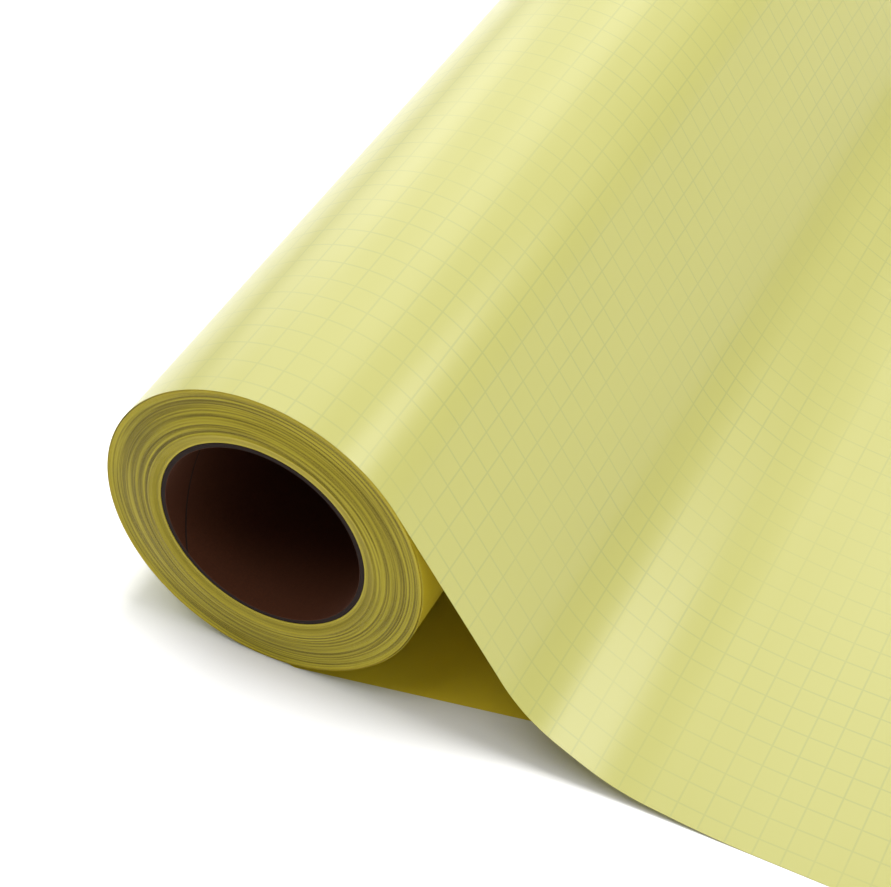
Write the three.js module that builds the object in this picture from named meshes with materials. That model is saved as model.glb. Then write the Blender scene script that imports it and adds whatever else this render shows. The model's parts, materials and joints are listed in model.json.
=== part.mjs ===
// A part-used roll of self-adhesive sign vinyl lying on a table: a paperboard core, the web wound on it,
// and the last lap of the printed release liner paid out over the roll on to the table.
// Millimetres. +Y runs along the roll from its near end to its far end, +X is the way the web is paid out,
// +Z is up, and the origin is on the table under the middle of the whole object.

import * as THREE from "three";

// ---- driving dimensions ------------------------------------------------------------------------------
const WEB_WIDTH = 610; // a 24 inch roll
const ROLL_RADIUS = 62; // outer face of the last lap
const CORE_BORE_RADIUS = 38.1; // the standard 3 inch core
const CORE_WALL = 1.9;
const LAYER = 0.2; // drawn thickness of one layer; the real liner and film are about 0.08 mm each
const LAYER_GAP = 0.1; // between neighbouring layers, wound or lying on each other
const RUNNING_GAP = 0.35; // between the still last lap and the laps that turn inside it
const SEGMENTS = 96; // facets in a full turn

// how far each wound piece stands out of the near end of the web, at its inside and its outside radius
const CORE_CREEP = 0.25;
const CREST = 1.5; // the laps near the core have crept out this far, which leaves a raised ring
const WINDING = [
  { name: "laps_first", from: 40.5, to: 44.2, creep: [0.4, CREST] },
  { name: "laps_inner", from: 44.3, to: 50.0, creep: [CREST, 0.75] },
  { name: "laps_middle", from: 50.1, to: 56.0, creep: [0.65, -0.1] },
  { name: "laps_outer", from: 56.1, to: null, creep: [-0.2, 0.0] },
];
const TAPE_WIDTH = 25; // the strip that holds the start of the web on the core
const TAPE_END_MARGIN = 6;

// the free web, as distances from the roll's axis along X and heights above the roll's lowest line
const LEAVE_ANGLE = 34.5; // degrees above the horizontal where the liner leaves the roll
const LAP_ANGLE = 342; // how much of a turn of the last lap lies on the roll
const KNEES = [
  { x: 102.1, z: 22.9, reach: 10 },
  { x: 137.4, z: 4.7, reach: 8 },
  { x: 175.0, z: 0.0, reach: 12 },
];
const TAIL_REACH = 266; // from the roll's axis to the cut end of the web
const KNEE_STEPS = 6;

// the film that has come away from the liner, with its near side trimmed askew and its end under the roll
const FILM_CORNER = 11.4; // from the roll's axis to the point where its near side meets the roll's end
const FILM_SKEW = 11.6; // degrees between its near side and the roll's end
const FILM_TUCK = 16; // how far it runs on past the roll's lowest line
const FILM_TUCK_INSET = 8; // how far its tucked end stays back from the roll's end

// ---- worked-out positions ----------------------------------------------------------------------------
const AXIS_X = (ROLL_RADIUS - TAIL_REACH) / 2;
const NEAR_Y = -(WEB_WIDTH - CREST) / 2;
const FAR_Y = NEAR_Y + WEB_WIDTH;
const CORE_RADIUS = CORE_BORE_RADIUS + CORE_WALL;
const LINER_INSIDE = ROLL_RADIUS - LAYER;
const FILM_OUTSIDE = LINER_INSIDE - LAYER_GAP;
const FILM_INSIDE = FILM_OUTSIDE - LAYER;
const WOUND_RADIUS = FILM_INSIDE - RUNNING_GAP;
const REST_HEIGHT = LAYER + LAYER_GAP; // of what lies on the film: the roll and the flat part of the liner
const AXIS_Z = REST_HEIGHT + ROLL_RADIUS;

const finish = {
  core: new THREE.MeshStandardMaterial({ color: 0x4a332c, roughness: 0.85, metalness: 0 }),
  tape: new THREE.MeshStandardMaterial({ color: 0xd9d3bd, roughness: 0.6, metalness: 0 }),
  laps: new THREE.MeshStandardMaterial({ color: 0x99903f, roughness: 0.6, metalness: 0 }),
  film: new THREE.MeshStandardMaterial({ color: 0xb5a743, roughness: 0.3, metalness: 0 }),
  liner: new THREE.MeshStandardMaterial({ color: 0xdedd8c, roughness: 0.35, metalness: 0 }),
};

function named(name, geometry, material) {
  const mesh = new THREE.Mesh(geometry, material);
  mesh.name = name;
  return mesh;
}

// A ring about the roll's axis. Each end face is a shallow cone, because laps keep their width as they creep.
function woundRing(inside, outside, creepInside, creepOutside) {
  const profile = [
    new THREE.Vector2(inside, NEAR_Y - creepInside),
    new THREE.Vector2(outside, NEAR_Y - creepOutside),
    new THREE.Vector2(outside, FAR_Y - creepOutside),
    new THREE.Vector2(inside, FAR_Y - creepInside),
    new THREE.Vector2(inside, NEAR_Y - creepInside),
  ];
  return new THREE.LatheGeometry(profile, SEGMENTS);
}

// A flat outline in X and Z, extruded along the roll from one Y to another.
function alongRoll(outline, fromY, toY) {
  const geometry = new THREE.ExtrudeGeometry(new THREE.Shape(outline), {
    depth: toY - fromY,
    bevelEnabled: false,
  });
  geometry.rotateX(Math.PI / 2);
  geometry.translate(0, toY, 0);
  return geometry;
}

// Points on a circle about the roll's axis, clockwise from one angle to a smaller one, in degrees.
function arcPoints(radius, fromAngle, toAngle) {
  const steps = Math.round(((fromAngle - toAngle) / 360) * SEGMENTS);
  const points = [];
  for (let i = 0; i <= steps; i += 1) {
    const angle = THREE.MathUtils.degToRad(fromAngle + ((toAngle - fromAngle) * i) / steps);
    points.push(new THREE.Vector2(radius * Math.cos(angle), radius * Math.sin(angle)));
  }
  return points;
}

// The under face of the free liner: straight runs joined by soft knees, from the roll to the cut end.
function freeRun(leavePoint) {
  const corners = KNEES.map((knee) => new THREE.Vector2(knee.x, knee.z - ROLL_RADIUS));
  const end = new THREE.Vector2(TAIL_REACH, -ROLL_RADIUS);
  const stops = [leavePoint, ...corners, end];
  const points = [];
  corners.forEach((corner, i) => {
    const before = stops[i].clone().sub(corner).setLength(KNEES[i].reach).add(corner);
    const after = stops[i + 2].clone().sub(corner).setLength(KNEES[i].reach).add(corner);
    points.push(...new THREE.QuadraticBezierCurve(before, corner, after).getPoints(KNEE_STEPS));
  });
  points.push(end);
  return points;
}

// A thin band of even thickness over a line of points, on the left-hand side of its direction.
function thicken(points, thickness) {
  const outer = points.map((point, i) => {
    const back = points[Math.max(i - 1, 0)];
    const on = points[Math.min(i + 1, points.length - 1)];
    const along = on.clone().sub(back).normalize();
    return new THREE.Vector2(point.x - along.y * thickness, point.y + along.x * thickness);
  });
  return [...points, ...outer.reverse()];
}

// ---- the pieces that turn together -------------------------------------------------------------------
function coreTube() {
  return named("core_tube", woundRing(CORE_BORE_RADIUS, CORE_RADIUS, CORE_CREEP, CORE_CREEP), finish.core);
}

function coreStartTape() {
  const inside = CORE_RADIUS + LAYER_GAP;
  const halfAngle = THREE.MathUtils.radToDeg(TAPE_WIDTH / inside / 2);
  const strip = thicken(arcPoints(inside, 90 + halfAngle, 90 - halfAngle), LAYER);
  const geometry = alongRoll(strip, NEAR_Y + TAPE_END_MARGIN, FAR_Y - TAPE_END_MARGIN);
  return named("core_start_tape", geometry, finish.tape);
}

function woundLaps() {
  return WINDING.map((ring) => {
    const outside = ring.to ?? WOUND_RADIUS;
    return named(ring.name, woundRing(ring.from, outside, ...ring.creep), finish.laps);
  });
}

// ---- the pieces that stay on the table ---------------------------------------------------------------
function linerWeb() {
  const lap = arcPoints(LINER_INSIDE, LEAVE_ANGLE + LAP_ANGLE, LEAVE_ANGLE);
  const run = freeRun(lap[lap.length - 1]);
  return named("liner_web", alongRoll(thicken([...lap, ...run], LAYER), NEAR_Y, FAR_Y), finish.liner);
}

function filmLastLap() {
  const lap = arcPoints(FILM_INSIDE, LEAVE_ANGLE + LAP_ANGLE, LEAVE_ANGLE);
  return named("film_last_lap", alongRoll(thicken(lap, LAYER), NEAR_Y, FAR_Y), finish.film);
}

function filmFreeEnd() {
  const trimmed = Math.tan(THREE.MathUtils.degToRad(FILM_SKEW)) * (TAIL_REACH - FILM_CORNER);
  const plan = [
    new THREE.Vector2(-FILM_TUCK, NEAR_Y + FILM_TUCK_INSET),
    new THREE.Vector2(FILM_CORNER, NEAR_Y),
    new THREE.Vector2(TAIL_REACH, NEAR_Y + trimmed),
    new THREE.Vector2(TAIL_REACH, FAR_Y),
    new THREE.Vector2(-FILM_TUCK, FAR_Y),
  ];
  const geometry = new THREE.ExtrudeGeometry(new THREE.Shape(plan), { depth: LAYER, bevelEnabled: false });
  return named("film_free_end", geometry, finish.film);
}

// ---- the scene ---------------------------------------------------------------------------------------
const turning = new THREE.Group();
turning.add(coreTube(), coreStartTape(), ...woundLaps());
const lastLap = new THREE.Group();
lastLap.add(linerWeb(), filmLastLap());
for (const group of [turning, lastLap]) {
  group.position.set(AXIS_X, 0, AXIS_Z);
}
const onTable = new THREE.Group();
onTable.add(filmFreeEnd());
onTable.position.x = AXIS_X;

const roll = new THREE.Group();
roll.add(turning, lastLap, onTable);

export default roll;
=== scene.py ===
# %% [markdown]
# # A part-used roll of sign vinyl
# Self-adhesive vinyl is sold as a web of two layers: a thin plastic film with glue on its back, and a
# siliconed paper liner that covers the glue. Both are wound together on a paperboard core with a 3 inch
# bore. Here the roll lies on a table, printed liner outwards, and the liner is paid out over the roll.
# Everything is in metres. +Y runs along the roll, +X is the way the web is paid out, and +Z is up.

import json
import math

import bmesh
import bpy
from mathutils import Matrix, Vector, noise


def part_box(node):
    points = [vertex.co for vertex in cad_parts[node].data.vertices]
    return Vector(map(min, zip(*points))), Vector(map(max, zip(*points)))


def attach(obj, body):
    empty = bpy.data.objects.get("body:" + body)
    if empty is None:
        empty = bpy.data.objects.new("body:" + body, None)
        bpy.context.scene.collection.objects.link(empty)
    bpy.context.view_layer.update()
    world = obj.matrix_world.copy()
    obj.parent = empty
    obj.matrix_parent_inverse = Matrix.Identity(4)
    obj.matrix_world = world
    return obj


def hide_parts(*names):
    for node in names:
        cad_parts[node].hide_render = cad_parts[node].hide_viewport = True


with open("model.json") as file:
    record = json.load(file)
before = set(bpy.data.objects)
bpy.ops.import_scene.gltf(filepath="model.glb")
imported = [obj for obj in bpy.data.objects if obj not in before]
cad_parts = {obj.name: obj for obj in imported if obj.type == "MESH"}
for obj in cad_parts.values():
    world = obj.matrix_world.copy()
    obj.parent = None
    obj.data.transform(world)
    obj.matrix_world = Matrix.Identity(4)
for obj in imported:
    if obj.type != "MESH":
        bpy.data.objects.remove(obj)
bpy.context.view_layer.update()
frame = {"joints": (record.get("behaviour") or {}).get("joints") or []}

# %% [markdown]
# ## Driving sizes
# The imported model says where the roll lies, so every size that it holds is read from it. Only what is
# finer than the model, such as the likely thickness of the layers, is given here.

# %% sizes
MM = 0.001
CORE_WALL = 1.9 * MM
liner_low, liner_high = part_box("liner_web")
core_low, core_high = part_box("core_tube")
near_y, far_y = liner_low.y, liner_high.y
web_width = far_y - near_y
axis_x, axis_z = frame["joints"][0]["pos_m"][0], frame["joints"][0]["pos_m"][2]
roll_radius = axis_x - liner_low.x
core_radius = (core_high.x - core_low.x) / 2
bore_radius = core_radius - CORE_WALL
tail_reach = liner_high.x - axis_x

LINER_THICK = 0.075 * MM
FILM_THICK = 0.08 * MM
LAP_PITCH = 0.154 * MM  # film and liner together, so that about 50 yards fill the roll
LEAVE_ANGLE = math.radians(34.5)  # above the horizontal, where the liner leaves the roll
LAP_TURN = math.radians(342)  # how much of the last lap lies on the roll
TABLE_GAP = 0.02 * MM
print("roll radius mm:", round(roll_radius / MM, 2), "web width mm:", round(web_width / MM, 1))

# %% [markdown]
# ## Camera
# The roll is seen from its near end, a little from the side it pays out to and from well above, with a
# long lens. The camera is placed in roll radii from the middle of the near end.

# %% camera
SEEN_FROM = Vector((4.503, -7.518, 8.997))  # in roll radii
near_centre = Vector((axis_x, near_y, axis_z))
camera_data = bpy.data.cameras.new("camera")
camera_data.lens = 91.35
camera_data.sensor_width = 36
camera_data.clip_start, camera_data.clip_end = 0.01, 50
camera = bpy.data.objects.new("camera", camera_data)
bpy.context.collection.objects.link(camera)
ahead = Vector((-0.3005, 0.6618, -0.6868)).normalized()
right = Vector((0.8954, 0.4439, 0.0360))
right = (right - ahead * right.dot(ahead)).normalized()
up = right.cross(ahead)
turn = Matrix((right, up, -ahead)).transposed()
place = near_centre + SEEN_FROM * roll_radius
camera.matrix_world = Matrix.Translation(place) @ turn.to_4x4()
bpy.context.scene.camera = camera
print("camera at", [round(v, 3) for v in place])

# %% [markdown]
# ## Table and light
# A white table fills the view. A pale room and six softboxes light the roll, the strongest from behind on
# the left. A seventh stands behind it on the right, and its reflection runs along the web as a soft
# streak. Under these alone a white table looks grey, and stronger ones would bleach the web. So the table
# has a light of its own: a wide sun whose receiver collection holds the table and nothing else. The roll
# still casts a shadow in it.

# %% room and softboxes
scene = bpy.context.scene
scene.view_settings.view_transform = "Standard"

world = bpy.data.worlds.new("room")
world.use_nodes = True
world.node_tree.nodes["Background"].inputs["Color"].default_value = (1.0, 1.0, 1.0, 1)
world.node_tree.nodes["Background"].inputs["Strength"].default_value = 0.31
scene.world = world

LAMP_DISTANCE = 2.2
STREAK_DISTANCE = 2.4
STREAK_SIZE = 0.6
STREAK_POWER = 7.8
STREAK_WAY = Vector((0.57, 0.565, 0.58))  # from the middle of the roll's near end
SOFTBOXES = [  # name, degrees round from +X, degrees above the table, size in metres, watts
    ("overhead_softbox", 0, 90, 1.6, 9.5),
    ("front_left_softbox", 245, 65, 0.8, 12.0),
    ("left_softbox", 138, 19, 0.8, 4.4),
    ("back_left_softbox", 115, 42, 1.7, 15.8),
    ("back_softbox", 85, 40, 1.3, 5.0),
    ("right_softbox", 350, 42, 1.5, 5.5),
]


def softbox(name, place, size, power):
    """A soft square light that faces the origin from its place."""
    data = bpy.data.lights.new(name, "AREA")
    data.shape = "SQUARE"
    data.size = size
    data.energy = power
    lamp = bpy.data.objects.new(name, data)
    bpy.context.collection.objects.link(lamp)
    facing = place.to_track_quat("Z", "Y").to_matrix().to_4x4()
    lamp.matrix_world = Matrix.Translation(place) @ facing


def toward(azimuth, elevation):
    """A direction, from degrees round from +X and degrees above the table."""
    a, e = math.radians(azimuth), math.radians(elevation)
    return Vector((math.cos(a) * math.cos(e), math.sin(a) * math.cos(e), math.sin(e)))


for name, azimuth, elevation, size, power in SOFTBOXES:
    softbox(name, toward(azimuth, elevation) * LAMP_DISTANCE, size, power)
streak_place = near_centre + STREAK_WAY * STREAK_DISTANCE
softbox("streak_softbox", streak_place, STREAK_SIZE, STREAK_POWER)
print("softboxes:", len(SOFTBOXES) + 1)

# %% table and its own light
TABLE_REACH = 50  # far enough that a low view still ends on the table
table_light = bpy.data.lights.new("table_light", "SUN")
table_light.energy = 3.0
table_light.angle = math.radians(17)
table_lamp = bpy.data.objects.new("table_light", table_light)
bpy.context.collection.objects.link(table_lamp)
table_lamp.rotation_euler = (math.radians(-5.5), 0, 0)  # from a little behind the roll
table_only = bpy.data.collections.new("table_only")
table_lamp.light_linking.receiver_collection = table_only

bm = bmesh.new()
bmesh.ops.create_grid(bm, x_segments=1, y_segments=1, size=TABLE_REACH)
table_mesh = bpy.data.meshes.new("table_top")
bm.to_mesh(table_mesh)
bm.free()
table_top = bpy.data.objects.new("table_top", table_mesh)
bpy.context.collection.objects.link(table_top)
table_only.objects.link(table_top)

# %% [markdown]
# ## Writing a finish as sums
# A finish is a small graph of shader nodes. `Value` wraps the output of a node, so that `1 - mask * 0.3`
# adds the Math nodes by itself, and `Finish.node` makes any other node from its settings and inputs.


# %% finish helpers
class Value:
    """A number or colour that changes over a surface: the output socket of a shader node."""

    def __init__(self, finish, socket):
        self.finish = finish
        self.socket = socket

    def __add__(self, other):
        return self.finish.math("ADD", self, other)

    def __sub__(self, other):
        return self.finish.math("SUBTRACT", self, other)

    def __rsub__(self, other):
        return self.finish.math("SUBTRACT", other, self)

    def __mul__(self, other):
        return self.finish.math("MULTIPLY", self, other)

    def __truediv__(self, other):
        return self.finish.math("DIVIDE", self, other)

    __radd__ = __add__
    __rmul__ = __mul__


class Finish:
    """A material with one Principled shader, and the nodes that feed it."""

    def __init__(self, name, **constants):
        self.material = bpy.data.materials.new(name)
        self.material.use_nodes = True
        self.tree = self.material.node_tree
        self.shader = self.tree.nodes["Principled BSDF"]
        for socket, value in constants.items():
            self.shader.inputs[socket.replace("_", " ").title()].default_value = value

    def node(self, kind, settings=None, inputs=None, output=0):
        """One node of any kind: first its settings, then its sockets, to numbers, colours or links."""
        made = self.tree.nodes.new(kind)
        for key, value in (settings or {}).items():
            setattr(made, key, value)
        for key, value in (inputs or {}).items():
            self.put(value, made.inputs[key])
        return Value(self, made.outputs[output])

    def put(self, value, socket):
        if isinstance(value, Value):
            self.tree.links.new(value.socket, socket)
        else:
            socket.default_value = value

    def feed(self, socket, value):
        self.put(value, self.shader.inputs[socket])

    def math(self, operation, *values):
        return self.node("ShaderNodeMath", {"operation": operation}, dict(enumerate(values)))

    def split(self, vector):
        """The three numbers of a vector."""
        return [self.node("ShaderNodeSeparateXYZ", inputs={0: vector}, output=i) for i in range(3)]

    def place(self):
        """The point of the surface, in metres, as it lies at rest."""
        return self.node("ShaderNodeTexCoord", output="Object")

    def web_place(self):
        """The point on the flat web, in metres: along it, across it from its near side, and both."""
        flat = self.node("ShaderNodeUVMap", {"uv_map": "web"})
        along, across, _ = self.split(flat)
        return along, across, flat

    def join(self, x, y=0.0, z=0.0):
        return self.node("ShaderNodeCombineXYZ", inputs={0: x, 1: y, 2: z})

    def cloud(self, where, scale, detail=2.0):
        """Soft noise from 0 to 1, with scale patches to the metre."""
        settings = {"noise_dimensions": "3D"}
        return self.node("ShaderNodeTexNoise", settings, {"Vector": where, "Scale": scale, "Detail": detail})

    def ramp(self, value, low, high, start=0.0, end=1.0):
        """value stretched so that low gives start and high gives end, and held there beyond them."""
        inputs = {0: value, 1: low, 2: high, 3: start, 4: end}
        return self.node("ShaderNodeMapRange", {"interpolation_type": "SMOOTHSTEP"}, inputs)

    def tint(self, share, first, second):
        """A colour between two others: first where share is 0, second where it is 1."""
        settings = {"data_type": "RGBA", "blend_type": "MIX"}
        return self.node("ShaderNodeMix", settings, {0: share, 6: first, 7: second}, output=2)

    def relief(self, height, depth):
        """Fine relief, depth metres high for each 1 of height."""
        inputs = {"Height": height, "Distance": depth}
        self.feed("Normal", self.node("ShaderNodeBump", inputs=inputs))


def rgb(red, green, blue):
    """A colour given as it looks, from 0 to 255, as the linear colour that the shaders take."""
    linear = [((v / 255 + 0.055) / 1.055) ** 2.4 if v > 10 else v / 3294.6 for v in (red, green, blue)]
    return (*linear, 1.0)


def about_axis(finish):
    """The place of a point from the roll's axis: its x, y and z, and its distance from the axis."""
    x, y, z = finish.split(finish.place())
    x, z = x - axis_x, z - axis_z
    return x, y, z, finish.math("SQRT", x * x + z * z)


# %% table finish
table_finish = Finish("table_white", roughness=0.6)
table_finish.feed("Base Color", (0.73, 0.73, 0.73, 1))
table_finish.feed("Specular IOR Level", 0.2)
table_mesh.materials.append(table_finish.material)
print("table finish:", table_finish.material.name)

# %% [markdown]
# ## Shapes from a flat web
# A web bends but doesn't stretch. So each sheet starts as a flat grid of its true length and width, with
# its flat place kept as a UV map, and is then laid along a line that keeps every length. The line is made
# of arcs about the roll's axis and of straight runs joined by soft knees, as the limp web hangs.


# %% lines that a web follows
def on_circle(radius, angle):
    return Vector((axis_x + radius * math.cos(angle), axis_z + radius * math.sin(angle)))


def arc(radius, start, end, steps):
    return [on_circle(radius, start + (end - start) * i / steps) for i in range(steps + 1)]


def knee(before, corner, after, reach, steps=14):
    """A soft bend that leaves the first run, and joins the second, at the same distance from the corner."""
    first = corner + (before - corner).normalized() * reach
    last = corner + (after - corner).normalized() * reach
    made = []
    for i in range(steps + 1):
        t = i / steps
        made.append(first * (1 - t) ** 2 + corner * (2 * t * (1 - t)) + last * t**2)
    return made


class Line:
    """A line in X and Z, walked by its length."""

    def __init__(self, points):
        self.points = points
        self.at = [0.0]
        for a, b in zip(points, points[1:]):
            self.at.append(self.at[-1] + (b - a).length)
        self.length = self.at[-1]
        self.step = 0

    def place(self, distance):
        """The point of the line at that distance from its start."""
        while self.step > 0 and distance < self.at[self.step]:
            self.step -= 1
        while self.step < len(self.at) - 2 and distance > self.at[self.step + 1]:
            self.step += 1
        a, b = self.points[self.step], self.points[self.step + 1]
        share = (distance - self.at[self.step]) / (self.at[self.step + 1] - self.at[self.step])
        return a.lerp(b, share)


# %% sheets
def new_piece(name, bm, finishes, body):
    """Makes an object of the mesh, with its finishes, riding on a body of the frame."""
    for face in bm.faces:
        face.smooth = True
    mesh = bpy.data.meshes.new(name)
    bm.to_mesh(mesh)
    bm.free()
    for finish in finishes:
        mesh.materials.append(finish.material)
    made = bpy.data.objects.new(name, mesh)
    bpy.context.collection.objects.link(made)
    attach(made, body)
    return made


def flat_web(length, width, steps_along, steps_across):
    """A flat grid from (0, 0) to (length, width), with its flat place as the UV map named web."""
    bm = bmesh.new()
    bmesh.ops.create_grid(bm, x_segments=steps_along, y_segments=steps_across, size=0.5)
    bmesh.ops.translate(bm, verts=bm.verts, vec=(0.5, 0.5, 0))
    bmesh.ops.scale(bm, verts=bm.verts, vec=(length, width, 1))
    flat = bm.loops.layers.uv.new("web")
    for face in bm.faces:
        for corner in face.loops:
            corner[flat].uv = corner.vert.co.xy
    for edge in bm.edges:
        edge.smooth = not edge.is_boundary
    return bm


def lay_along(bm, line, start_y):
    """Bends the flat web along a line in X and Z. Its upper side becomes the left of the line."""
    for vert in bm.verts:
        point = line.place(min(max(vert.co.x, 0), line.length))
        vert.co = (point.x, start_y + vert.co.y, point.y)


def give_thickness(piece, thickness):
    """Thickness below a sheet. The under side takes the second finish and the edges the third."""
    solid = piece.modifiers.new("thickness", "SOLIDIFY")
    solid.thickness = thickness
    solid.offset = -1
    solid.use_even_offset = True
    solid.material_offset = 1
    solid.material_offset_rim = 2


# %% [markdown]
# ## Finishes of the web
# The liner is a glossy, siliconed paper, pale yellow, printed on its back with a fine grey-green grid of
# 10 mm squares for cutting by. The grid is drawn from the flat place on the web, so it bends with it. The
# film is a yellow plastic. Its gold is partly its own colour and partly painted shade: the saturated yellow
# that light takes as it bounces under the web. Its edges, and the liner's, show on the roll's ends as fine
# olive rings.

# %% liner finish
GRID_PITCH = 10 * MM
GRID_LINE = 0.65 * MM
FIRST_LINE_ALONG = 0.0  # a printed line lies this far along the web
FIRST_LINE_ACROSS = 7.3 * MM  # and one lies this far in from its near side


def grid_lines(finish, distance, first):
    """1 on the printed lines and 0 between them."""
    squares = (distance - first) / GRID_PITCH
    from_line = finish.math("PINGPONG", squares, 0.5) * GRID_PITCH
    return finish.ramp(from_line, GRID_LINE * 0.75, GRID_LINE * 0.25)


def liner_printed():
    finish = Finish("liner_printed_side")
    finish.feed("Specular IOR Level", 0.62)
    along, across, flat = finish.web_place()
    mottle = finish.cloud(flat, 14, 3)
    fibre = finish.cloud(flat, 500, 2)
    paper = finish.tint(mottle, rgb(203, 201, 113), rgb(207, 204, 118))
    lines = grid_lines(finish, along, FIRST_LINE_ALONG)
    lines = finish.math("MAXIMUM", lines, grid_lines(finish, across, FIRST_LINE_ACROSS))
    worn = finish.ramp(finish.cloud(flat, 9, 3), 0.38, 0.62, 0.45, 1.0)
    finish.feed("Base Color", finish.tint(lines * worn * 0.25, paper, rgb(140, 158, 110)))
    finish.feed("Roughness", finish.ramp(fibre, 0.2, 0.8, 0.282, 0.3))
    finish.relief(finish.cloud(flat, 55, 1), 0.004 * MM)
    return finish


def liner_release():
    finish = Finish("liner_release_side")
    _, _, flat = finish.web_place()
    paper = finish.tint(finish.cloud(flat, 30, 3), rgb(205, 200, 118), rgb(214, 210, 132))
    finish.feed("Base Color", paper)
    finish.feed("Roughness", finish.ramp(finish.cloud(flat, 400, 2), 0.2, 0.8, 0.29, 0.36))
    return finish


def film_face():
    finish = Finish("film_face")
    _, _, flat = finish.web_place()
    # the gold is partly the film's own yellow and partly painted shade, the saturated yellow of light
    # bounced under the web
    plastic = finish.tint(finish.cloud(flat, 20, 3), rgb(206, 184, 46), rgb(213, 190, 54))
    finish.feed("Base Color", plastic)
    peel = finish.cloud(flat, 350, 2)
    finish.feed("Roughness", finish.ramp(peel, 0.2, 0.8, 0.285, 0.33))
    finish.relief(peel, 0.006 * MM)
    return finish


CREST_RADIUS = 44.1 * MM  # the fine relief peaks here, close to the crest of the crept laps


def cut_edge():
    """The edges of wound laps: rings of slightly different tone, with a few dusty ones, and lighter first
    and last laps, which are painted light.
    """
    finish = Finish("web_cut_edge", roughness=0.6)
    finish.feed("Specular IOR Level", 0.25)
    x, _, z, radius = about_axis(finish)
    rings = finish.cloud(finish.join(radius, x * 0.01, z * 0.01), 1500, 4)
    broad = finish.cloud(finish.join(radius, 0.9), 210, 2)
    arcs = finish.cloud(finish.join(radius * 14.0, x * 0.4, z * 0.4), 60, 3)
    tone = finish.tint(finish.ramp(rings, 0.36, 0.64), rgb(100, 88, 12), rgb(182, 168, 46))
    tone = finish.tint(finish.ramp(broad, 0.35, 0.65) * 0.35, tone, rgb(138, 125, 20))
    dusty = finish.ramp(finish.cloud(finish.join(radius, 0.1), 1400, 2), 0.58, 0.7)
    tone = finish.tint(dusty * finish.ramp(arcs, 0.4, 0.6), tone, rgb(78, 66, 20))
    # painted light: the outermost laps are tinted a brighter yellow all round, for the light that their rim
    # catches
    last_laps_painted_light = finish.ramp(radius, roll_radius - 2.2 * MM, roll_radius - 1.0 * MM)
    tone = finish.tint(last_laps_painted_light * 0.6, tone, rgb(190, 172, 40))
    # painted light: the first, crept laps are tinted lighter all round, for the light that their raised ring
    # catches
    first_laps_painted_light = finish.ramp(radius, 44.6 * MM, 43.8 * MM)
    tone = finish.tint(first_laps_painted_light * 0.6, tone, rgb(188, 172, 62))
    finish.feed("Base Color", tone)
    crest = finish.ramp(radius, 40.4 * MM, CREST_RADIUS) - finish.ramp(radius, CREST_RADIUS, 57 * MM)
    finish.relief(crest + rings * 0.08 + broad * 0.1, 2.4 * MM)
    return finish


printed_side = liner_printed()
release_side = liner_release()
film_side_gold_painted_shade = film_face()
edge = cut_edge()
print("web finishes:", [f.material.name for f in (printed_side, release_side, film_side_gold_painted_shade, edge)])

# %% [markdown]
# ## Core
# The core is a paper tube, wound from strips of board and glued. Its bore is 76.2 mm across, which fits
# the spindles and plugs of roll holders. Its profile is spun about the roll's axis. The cut ends show the
# plies as fine steps, and the inside shows the long spiral seam of the innermost strip.

# %% core
PLIES = 5
PLY_STEP = 0.05 * MM
CORE_ARRIS = 0.15 * MM
PLY_SLOPE = 0.02 * MM  # half the width of the slope between two plies
STRIP_PITCH = 0.19  # along the roll, in one turn of the innermost strip
SHARP_EDGE = math.radians(25)
CORE_FACETS = 192


def core_profile():
    """The outline of the wall, as (distance from the axis, place along the roll), round the section."""
    wall = core_radius - bore_radius
    end = []
    for i in range(PLIES):
        step = PLY_STEP * (i % 2)
        inside = bore_radius + wall * i / PLIES
        outside = bore_radius + wall * (i + 1) / PLIES
        end += [(inside + PLY_SLOPE, step), (outside - PLY_SLOPE, step)]
    end[0] = (bore_radius + CORE_ARRIS, 0.0)
    end[-1] = (core_radius - CORE_ARRIS, 0.0)
    end = [(bore_radius, CORE_ARRIS), *end, (core_radius, CORE_ARRIS)]
    near = [(r, core_low.y + step) for r, step in end]
    far = [(r, core_high.y - step) for r, step in reversed(end)]
    return near + far


def spun(profile, steps):
    """A closed outline spun right round the roll's axis."""
    bm = bmesh.new()
    ring = [bm.verts.new((axis_x + r, y, axis_z)) for r, y in profile]
    rim = [bm.edges.new(pair) for pair in zip(ring, ring[1:] + ring[:1])]
    centre = (axis_x, 0, axis_z)
    bmesh.ops.spin(
        bm, geom=ring + rim, cent=centre, axis=(0, 1, 0), angle=math.tau, steps=steps, use_merge=True
    )
    bmesh.ops.remove_doubles(bm, verts=bm.verts, dist=1e-7)
    bmesh.ops.recalc_face_normals(bm, faces=bm.faces)
    for side in bm.edges:
        side.smooth = side.calc_face_angle(0) < SHARP_EDGE
    return bm


def core_board():
    finish = Finish("core_board", roughness=0.82)
    finish.feed("Specular IOR Level", 0.25)
    x, y, z, radius = about_axis(finish)
    angle = finish.math("ARCTAN2", z, x) / math.tau
    strip = finish.math("FRACT", y / STRIP_PITCH + angle)
    seam = finish.ramp(finish.math("PINGPONG", strip, 0.5), 0.004, 0.001)
    fibre = finish.cloud(finish.place(), 1200, 4)
    long_fibre = finish.cloud(finish.join(angle * 60.0, y * 8.0, 0.0), 12, 4)
    board = finish.tint(fibre, rgb(66, 30, 11), rgb(88, 44, 18))
    board = finish.tint(long_fibre * 0.5, board, rgb(70, 40, 24))
    cut = finish.ramp(radius, bore_radius + 0.05 * MM, bore_radius + 0.25 * MM)
    board = finish.tint(cut, board, rgb(34, 20, 14))
    finish.feed("Base Color", finish.tint(seam * (1 - cut), board, rgb(40, 26, 20)))
    finish.relief(fibre + long_fibre - seam * 2.0, 0.05 * MM)
    return finish


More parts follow.
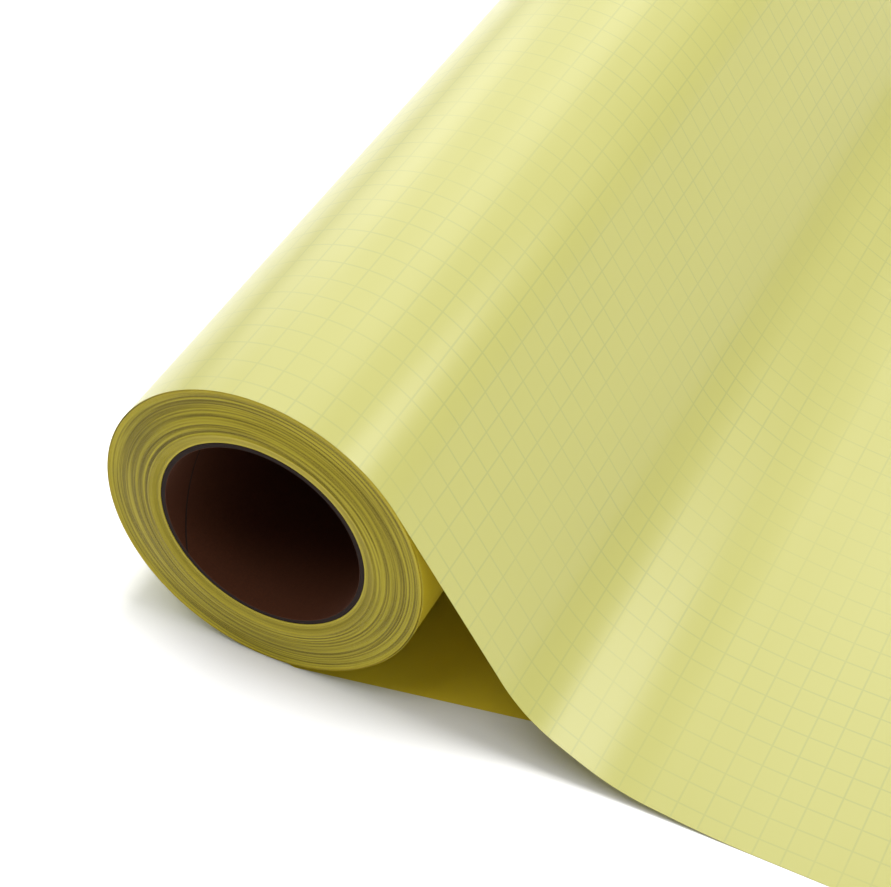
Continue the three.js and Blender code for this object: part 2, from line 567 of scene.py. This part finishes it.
core = new_piece("paper_core", spun(core_profile(), CORE_FACETS), [core_board()], "roll")
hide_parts("core_tube")
print("core:", len(core.data.polygons), "faces, bore mm", round(bore_radius * 2 / MM, 1))

# %% [markdown]
# ## Start tape
# The first lap is held on the core by a strip of double-sided tape along the roll. It is hidden once the
# roll is wound, and is a narrow sheet bent round the core.

# %% start tape
TAPE_WIDTH = 25 * MM
TAPE_MARGIN = 6 * MM
TAPE_THICK = 0.06 * MM
TAPE_GAP = 0.02 * MM
TAPE_STEPS = 24


def tape_finish():
    finish = Finish("tape_clear", roughness=0.35)
    _, _, flat = finish.web_place()
    cream = finish.cloud(flat, 120, 3)
    finish.feed("Base Color", finish.tint(cream, rgb(196, 190, 170), rgb(214, 208, 190)))
    return finish


tape_radius = core_radius + TAPE_GAP + TAPE_THICK
half_tape = TAPE_WIDTH / tape_radius / 2
tape_line = Line(arc(tape_radius, math.pi / 2 + half_tape, math.pi / 2 - half_tape, TAPE_STEPS))
tape_bm = flat_web(tape_line.length, web_width - 2 * TAPE_MARGIN, TAPE_STEPS, 4)
lay_along(tape_bm, tape_line, near_y + TAPE_MARGIN)
tape_kind = tape_finish()
tape = new_piece("core_start_strip", tape_bm, [tape_kind] * 3, "roll")
give_thickness(tape, TAPE_THICK)
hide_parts("core_start_tape")
print("start tape mm:", round(tape_line.length / MM, 1))

# %% [markdown]
# ## Wound web
# The roll holds about 139 laps of one long web. It is made as the real one is: a flat web is rolled up in
# a true spiral, and each point moves out by one lap's thickness in each turn. Laps slip a little along
# the roll as it is wound and handled. Here those near the core have crept out of the near end, which
# leaves a raised ring with a sharp crest, and the outermost ones stand a hair proud. On top of that each
# band of laps sits slightly in or out, and that is what draws the rings.

# %% wound web
FACETS = 96  # to a turn
LAP_THICK = LAP_PITCH * 0.9
LAP_GAP = 0.2 * MM  # left inside the first lap and outside the last one
SPIRAL_END = math.radians(12)  # below where the liner leaves the roll, 6 degrees short of the last lap
first_radius = core_radius + LAP_GAP
last_radius = roll_radius - LINER_THICK - FILM_THICK - LAP_GAP
turns = (last_radius - first_radius) / LAP_PITCH
wound_length = math.pi * (last_radius**2 - first_radius**2) / LAP_PITCH
CREEP_STATIONS = [  # mm from the axis, and mm that the edge stands out there
    (40.0, 0.2), (43.7, 1.3), (44.2, 1.5), (44.7, 1.2), (50.0, 0.7),
    (56.0, -0.05), (58.8, -0.3), (61.0, 0.0), (63.0, 0.2),
]


def creep(radius):
    """How far the web's edge stands out of the near end at this radius."""
    r = radius / MM
    for (r0, c0), (r1, c1) in zip(CREEP_STATIONS, CREEP_STATIONS[1:]):
        if r <= r1:
            break
    broad = c0 + (c1 - c0) * (r - r0) / (r1 - r0)
    bands = noise.noise(Vector((r * 1.1, 3.7, 0))) * 0.12
    fine = noise.noise(Vector((r * 3.7, 8.1, 0))) * 0.05
    return (broad + bands + fine) * MM


def wound_web():
    """A flat web with its thickness, rolled up. Its long edges face along the roll."""
    bm = flat_web(wound_length, web_width, round(turns * FACETS), 1)
    bmesh.ops.solidify(bm, geom=bm.faces[:], thickness=LAP_THICK)
    bm.normal_update()
    for face in bm.faces:
        face.material_index = 1 if abs(face.normal.y) > 0.5 else 0
    top = max(vert.co.z for vert in bm.verts)
    end_angle = LEAVE_ANGLE - SPIRAL_END
    for vert in bm.verts:
        lap = vert.co.x / wound_length * turns
        radius = first_radius + lap * LAP_PITCH + vert.co.z - top
        point = on_circle(radius, end_angle + (turns - lap) * math.tau)
        vert.co = (point.x, near_y + vert.co.y - creep(radius), point.y)
    bmesh.ops.recalc_face_normals(bm, faces=bm.faces)
    return bm


wound = new_piece("wound_web", wound_web(), [film_side_gold_painted_shade, edge], "roll")
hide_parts("laps_first", "laps_inner", "laps_middle", "laps_outer")
print("wound laps:", round(turns, 1), "web on the roll m:", round(wound_length, 1))
print("wound web faces:", len(wound.data.polygons))

# %% [markdown]
# ## Last lap and paid-out liner
# The liner covers the roll as its last lap, leaves it at the upper right, hangs in a straight free span
# and comes down on the table through three soft knees. It is one sheet with the printed side outwards.

# %% liner
KNEES = [  # mm from the axis, mm above the roll's foot, and how far the bend reaches each way
    (101.9, 22.6, 16),
    (137.2, 4.4, 14),
    (175.5, 0.0, 17),
]
LAP_STEPS = 342  # one to a degree of the last lap
LINER_GRID = (440, 40)
roll_foot = axis_z - roll_radius
table_rest = FILM_THICK + 2 * TABLE_GAP + LINER_THICK


def liner_line():
    lap = arc(roll_radius, LEAVE_ANGLE + LAP_TURN, LEAVE_ANGLE, LAP_STEPS)
    corners = [Vector((axis_x + x * MM, roll_foot + z * MM)) for x, z, _ in KNEES]
    corners[-1].y = table_rest
    stops = [lap[-1], *corners, Vector((axis_x + tail_reach, table_rest))]
    run = []
    for i, (_, _, reach) in enumerate(KNEES):
        run += knee(stops[i], stops[i + 1], stops[i + 2], reach * MM)
    return Line(lap + run + [stops[-1]])


liner_path = liner_line()
liner_bm = flat_web(liner_path.length, web_width, *LINER_GRID)
lay_along(liner_bm, liner_path, near_y)
liner = new_piece("paid_out_liner", liner_bm, [printed_side, release_side, edge], "web")
give_thickness(liner, LINER_THICK)
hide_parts("liner_web")
print("liner length mm:", round(liner_path.length / MM, 1))

# %% [markdown]
# ## Film of the last lap
# Where the liner leaves the roll, the film has parted from it and stays behind. It goes on round the roll's
# right side, over the start of the lap below, and ends out of sight low down. So it is one sheet, under
# the liner for almost a turn and then bare.

# %% film of the last lap
FLAP_END = math.radians(-42)
CLIMB_MARGIN = math.radians(1.5)  # the climb is over this far before the start of the last lap
film_radius = roll_radius - LINER_THICK - TABLE_GAP
flap_radius = roll_radius + FILM_THICK + 2 * TABLE_GAP
climb_end = LEAVE_ANGLE + LAP_TURN - math.tau + CLIMB_MARGIN
CLIMB_STEPS = 20
FLAP_STEPS = 60
FILM_GRID = (420, 8)


def film_lap_line():
    covered = arc(film_radius, LEAVE_ANGLE + LAP_TURN, LEAVE_ANGLE, LAP_STEPS)
    climb = []
    for i in range(1, CLIMB_STEPS):
        share = i / CLIMB_STEPS
        eased = share * share * (3 - 2 * share)
        radius = film_radius + (flap_radius - film_radius) * eased
        climb.append(on_circle(radius, LEAVE_ANGLE + (climb_end - LEAVE_ANGLE) * share))
    return Line(covered + climb + arc(flap_radius, climb_end, FLAP_END, FLAP_STEPS))


film_line = film_lap_line()
film_bm = flat_web(film_line.length, web_width, *FILM_GRID)
lay_along(film_bm, film_line, near_y)
# its bare part covers the strip of roll that lies in shade under the web, where the film's gold is partly
# painted shade
film_lap = new_piece("film_of_last_lap", film_bm, [film_side_gold_painted_shade, film_side_gold_painted_shade, edge], "web")
give_thickness(film_lap, FILM_THICK)
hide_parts("film_last_lap")
print("film of the last lap, length mm:", round(film_line.length / MM, 1))

# %% [markdown]
# ## Film lying free
# The film has come away from the liner and lies flat on the table under it. Its near side is trimmed
# askew, and its end is tucked under the roll, which keeps the roll from rolling away.

# %% free film
film_low, film_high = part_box("film_free_end")
CORNER = 11.4 * MM  # from the axis, where the askew side meets the roll's end
SKEW = math.radians(11.6)
TUCK_INSET = 8 * MM
FREE_GRID = (80, 60)
film_length = film_high.x - film_low.x
print("free film mm:", round(film_length / MM, 1))


def near_side(x):
    """Where the trimmed near side of the film lies, as a distance from the roll's end."""
    from_corner = x - axis_x - CORNER
    if from_corner < 0:
        return -from_corner * TUCK_INSET / (CORNER + axis_x - film_low.x)
    return from_corner * math.tan(SKEW)


def free_film():
    bm = flat_web(film_length, web_width, *FREE_GRID)
    for vert in bm.verts:
        x = film_low.x + vert.co.x
        start = near_side(x)
        across = start + vert.co.y * (web_width - start) / web_width
        vert.co = (x, near_y + across, TABLE_GAP + FILM_THICK)
    return bm


# here, in the shaded gap under the web, the film's gold is partly painted shade
free = new_piece("film_lying_free", free_film(), [film_side_gold_painted_shade, film_side_gold_painted_shade, edge], "web")
give_thickness(free, FILM_THICK)
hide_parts("film_free_end")
trimmed = (film_high.x - axis_x - CORNER) ** 2 * math.tan(SKEW) / 2
trimmed += (CORNER + axis_x - film_low.x) * TUCK_INSET / 2
